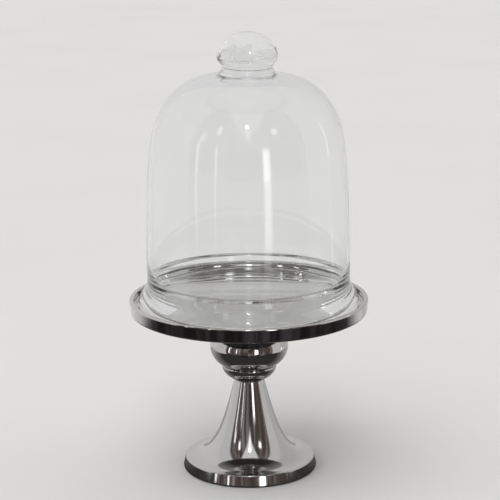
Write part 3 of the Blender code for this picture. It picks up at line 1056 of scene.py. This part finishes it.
@dataclass
class Studio:
    """Pale floor, a soft room for the metal and glass to mirror, and the camera."""

    lens: float = 122.4
    sensor: float = 36.0
    clip: tuple[float, float] = (0.05, 60.0)
    camera_back: float = 1.5117
    camera_height: float = 0.5748
    camera_pitch: float = 13.67
    camera_roll: float = -0.458
    shift: tuple[float, float] = (0.0033, 0.0016)
    sun_level: float = 1.25
    sun_breadth: float = 70.0
    sun_tilt: tuple[float, float] = (28.0, -24.0)
    dark_room: tuple[float, float, float] = (0.034, 0.030, 0.030)
    warm_room: tuple[float, float, float] = (0.11, 0.085, 0.075)
    pale_room: tuple[float, float, float] = (0.34, 0.33, 0.34)
    right_edge: tuple[float, float] = (70.0, 74.0)
    left_edge: tuple[float, float] = (-69.0, -73.0)
    ceiling_start: float = 22.0
    ceiling_slope: float = 1.07
    ceiling_top: float = 60.0
    ceiling_fade: float = 4.0
    horizon: tuple[float, float] = (-22.0, -19.5)
    streak_scale: tuple[float, float] = (0.085, 0.012)
    streak_steps: tuple[float, float, float] = (0.36, 0.52, 0.66)
    ground_steps: tuple[float, float] = (0.45, 0.62)
    glow_across: tuple[float, float] = (1.5, 0.4)
    glow_along: tuple[float, float] = (1.35, 0.6)
    floor_size: float = 14.0
    floor_grain: float = 3.0
    floor_mottle: float = 0.97
    floor_matt: float = 0.9
    floor_colour: tuple[float, float, float] = (0.80, 0.795, 0.785)
    wall_light: tuple[float, float, float] = (0.66, 0.655, 0.65)
    window_tint: tuple[float, float, float] = (0.97, 0.985, 1.0)
    ceiling_light: tuple[float, float, float] = (0.80, 0.80, 0.80)
    shade: tuple[float, float, float] = (0.015, 0.013, 0.013)
    shade_light: tuple[float, float, float] = (0.048, 0.047, 0.052)
    glows: tuple[Glow, ...] = (
        Glow(21.2, 0.0, 4.2, 13.0, 4.6),
        Glow(-37.0, 3.0, 1.2, 13.0, 2.1),
        Glow(-60.5, 3.0, 1.5, 14.0, 2.2),
        Glow(109.0, 4.0, 1.6, 17.0, 2.0),
        Glow(37.0, 33.0, 4.0, 4.0, 2.5),
        Glow(-38.0, 34.0, 3.0, 6.0, 2.0),
        Glow(-57.0, 22.0, 2.5, 5.0, 1.5),
        Glow(-1.0, 42.0, 2.0, 2.5, 30.0),
        Glow(0.0, 33.0, 4.0, 12.0, 0.8),
    )
    cards: tuple[Card, ...] = (
        # painted reflection of the table: a glowing card whose near tone is the dark table in painted shade
        # next to the object, and whose far tone is painted light on the table behind it
        Card("dark_table_shade_and_sheen", ((-0.34, -0.24, 0.0), (0.34, -0.24, 0.0), (0.34, 0.34, 0.0), (-0.34, 0.34, 0.0)),
             (0.042, 0.039, 0.038), (0.42, 0.41, 0.40), 1, -0.02, 0.20),
        Card("wall_card", ((-1.3, 0.34, 0.0), (1.3, 0.34, 0.0), (1.3, 0.34, 1.1), (-1.3, 0.34, 1.1)),
             (0.72, 0.715, 0.71), (0.55, 0.545, 0.54), 0, -0.25, 0.25),
    )

    def room(self) -> None:
        """The room as polished surfaces see it, worked out from the bearing and rise of each direction.

        Light walls beside and behind the object, a darker room towards the camera with soft upright
        streaks, a ceiling that comes lowest in front, shade below the table, and the bright patches. The
        camera itself looks at a plain pale wall.
        """
        world = bpy.data.worlds.new("studio")
        bpy.context.scene.world = world
        world.use_nodes = True
        world.node_tree.nodes.clear()
        desk = Desk(world.node_tree)
        way = desk.node("TexCoord").outputs["Generated"]
        split = desk.node("SeparateXYZ", {0: way})
        facing = desk.math("MULTIPLY", split.outputs[1], -1.0)
        bearing = desk.math("MULTIPLY", desk.math("ARCTAN2", split.outputs[0], facing), math.degrees(1.0))
        rise = desk.math("MULTIPLY", desk.math("ARCSINE", split.outputs[2]), math.degrees(1.0))
        turn = desk.math("ABSOLUTE", bearing)

        streak_way = desk.node("CombineXYZ", {
            0: desk.math("MULTIPLY", bearing, self.streak_scale[0]),
            1: desk.math("MULTIPLY", rise, self.streak_scale[1]),
        }).outputs[0]
        streak = desk.noise(streak_way, 1.0, 3.0, 0.6)
        tone = desk.node("ValToRGB", {0: streak})
        ramp = tone.color_ramp
        ramp.elements[0].position = self.streak_steps[0]
        ramp.elements[0].color = (*self.dark_room, 1.0)
        ramp.elements[1].position = self.streak_steps[2]
        ramp.elements[1].color = (*self.pale_room, 1.0)
        middle = ramp.elements.new(self.streak_steps[1])
        middle.color = (*self.warm_room, 1.0)

        right = desk.smooth(bearing, *self.right_edge)
        left = desk.smooth(bearing, *self.left_edge)
        side = desk.math("MAXIMUM", right, left)
        walls = desk.mix(side, tone.outputs[0], self.wall_light)
        slope = desk.math("MULTIPLY", turn, self.ceiling_slope)
        lowest = desk.math("MINIMUM", desk.math("ADD", slope, self.ceiling_start), self.ceiling_top)
        ceiling = desk.smooth(desk.math("SUBTRACT", rise, lowest), 0.0, self.ceiling_fade)
        upper = desk.mix(ceiling, walls, self.ceiling_light)
        above = desk.smooth(rise, *self.horizon)
        ground = desk.mix(desk.spread(streak, 0.0, 1.0, *self.ground_steps), self.shade, self.shade_light)
        whole = desk.mix(above, ground, upper)

        total: bpy.types.NodeSocket | None = None
        for glow in self.glows:
            across = desk.math("ABSOLUTE", desk.math("SUBTRACT", bearing, glow.bearing))
            along = desk.math("ABSOLUTE", desk.math("SUBTRACT", rise, glow.rise))
            widths = [reach * glow.half_width for reach in self.glow_across]
            heights = [reach * glow.half_height for reach in self.glow_along]
            shape = desk.math("MULTIPLY", desk.smooth(across, *widths), desk.smooth(along, *heights))
            lit = desk.math("MULTIPLY", shape, glow.level)
            total = lit if total is None else desk.math("ADD", total, lit)
        plain = desk.node("LightPath").outputs["Is Camera Ray"]
        seen = desk.mix(plain, whole, self.wall_light)
        base = desk.node("Background", {"Color": seen, "Strength": 1.0})
        bright = desk.node("Background", {"Color": (*self.window_tint, 1.0), "Strength": total})
        both = desk.node("AddShader", {0: base.outputs[0], 1: bright.outputs[0]})
        desk.node("OutputWorld", {"Surface": both.outputs[0]})

    def stand_by(self, name: str, corners: Sequence[Sequence[float]]) -> bpy.types.Object:
        """Puts a flat four-cornered stage piece in the scene.

        Args:
            name: the piece's name.
            corners: its four corners in order.

        Returns:
            The new object.
        """
        mesh = bpy.data.meshes.new(name)
        mesh.from_pydata([tuple(corner) for corner in corners], [], [(0, 1, 2, 3)])
        piece = bpy.data.objects.new(name, mesh)
        bpy.context.scene.collection.objects.link(piece)
        return piece

    def floor(self) -> None:
        """A pale floor that the polished metal doesn't mirror."""
        half = self.floor_size / 2
        floor = self.stand_by("studio_floor", ((-half, -half, 0.0), (half, -half, 0.0), (half, half, 0.0),
                                               (-half, half, 0.0)))
        mix = Recipe("studio_floor")
        grain = mix.noise(mix.place(), self.floor_grain, 3.0)
        shade = tuple(self.floor_mottle * part for part in self.floor_colour)
        tint = mix.mix(mix.spread(grain, 0.0, 1.0), self.floor_colour, shade)
        matt = mix.node("BsdfPrincipled", {"Base Color": tint, "Roughness": self.floor_matt})
        dress(floor, mix.finish(matt.outputs[0]))
        floor.visible_glossy = False

    def reflectors(self) -> None:
        """The cards: each glows evenly, fading from its near tone to its far tone along one axis."""
        for card in self.cards:
            piece = self.stand_by(card.name, card.corners)
            mix = Recipe(card.name)
            split = mix.node("SeparateXYZ", {0: mix.place()})
            share = mix.spread(split.outputs[card.axis], 0.0, 1.0, card.start, card.end)
            glow = mix.node("Emission", {"Color": mix.mix(share, card.near, card.far), "Strength": 1.0})
            dress(piece, mix.finish(glow.outputs[0]))
            piece.visible_camera = False
            piece.visible_diffuse = False
            piece.visible_transmission = False
            piece.visible_shadow = False

    def daylight(self) -> None:
        """Soft light from high on the left, from a source too broad to mirror."""
        data = bpy.data.lights.new("soft_daylight", "SUN")
        data.energy = self.sun_level
        data.angle = math.radians(self.sun_breadth)
        light = bpy.data.objects.new("soft_daylight", data)
        light.rotation_euler = (math.radians(self.sun_tilt[0]), math.radians(self.sun_tilt[1]), 0.0)
        light.visible_glossy = False
        light.visible_transmission = False
        bpy.context.scene.collection.objects.link(light)

    def camera(self) -> None:
        """The camera, level with its pitch, and turned a little about its line of sight."""
        data = bpy.data.cameras.new("camera")
        data.lens = self.lens
        data.sensor_width = self.sensor
        data.shift_x, data.shift_y = self.shift
        data.clip_start, data.clip_end = self.clip
        camera = bpy.data.objects.new("camera", data)
        tilt = Matrix.Rotation(math.radians(90.0 - self.camera_pitch), 4, "X")
        roll = Matrix.Rotation(math.radians(self.camera_roll), 4, "Z")
        camera.matrix_world = Matrix.Translation((0.0, -self.camera_back, self.camera_height)) @ tilt @ roll
        bpy.context.scene.collection.objects.link(camera)
        bpy.context.scene.camera = camera

    def build(self) -> None:
        """Sets up the whole studio, and lets light bounce often enough for thick glass."""
        self.camera()
        self.floor()
        self.reflectors()
        self.room()
        self.daylight()
        scene = bpy.context.scene
        scene.view_settings.view_transform = "Standard"
        scene.cycles.max_bounces = 32
        scene.cycles.transmission_bounces = 24
        scene.cycles.glossy_bounces = 16
        scene.cycles.transparent_max_bounces = 16
        scene.cycles.caustics_reflective = False
        scene.cycles.caustics_refractive = False
        scene.cycles.use_denoising = True


def main() -> None:
    """Builds the studio and every piece in order, and reports each one."""
    logging.basicConfig(level=logging.INFO, format="%(name)s: %(message)s")
    Studio().build()
    glass = BlownGlass("blown_glass").material()
    tray_metal = PolishedCasting("tray_polish", gloss=0.03, haze=0.03).material()
    bowl_metal = PolishedCasting("bowl_polish", gloss=0.035, haze=0.03).material()
    foot_metal = PolishedCasting("foot_polish", gloss=0.06, haze=0.05, ripple=0.00012).material()
    steel = PlatedSteel("zinc_plate").material()
    felt = PressedFelt("pressed_felt").material()
    pieces = [GlassDome().build(glass), Tray().build(tray_metal)]
    pieces += Bowls().build(bowl_metal)
    pieces += Pedestal().build(foot_metal, felt)
    pieces += Clamp().build(steel)
    for piece in pieces:
        LOG.info("%s: %d faces", piece.name, len(piece.data.polygons))


if __name__ == "__main__":
    main()
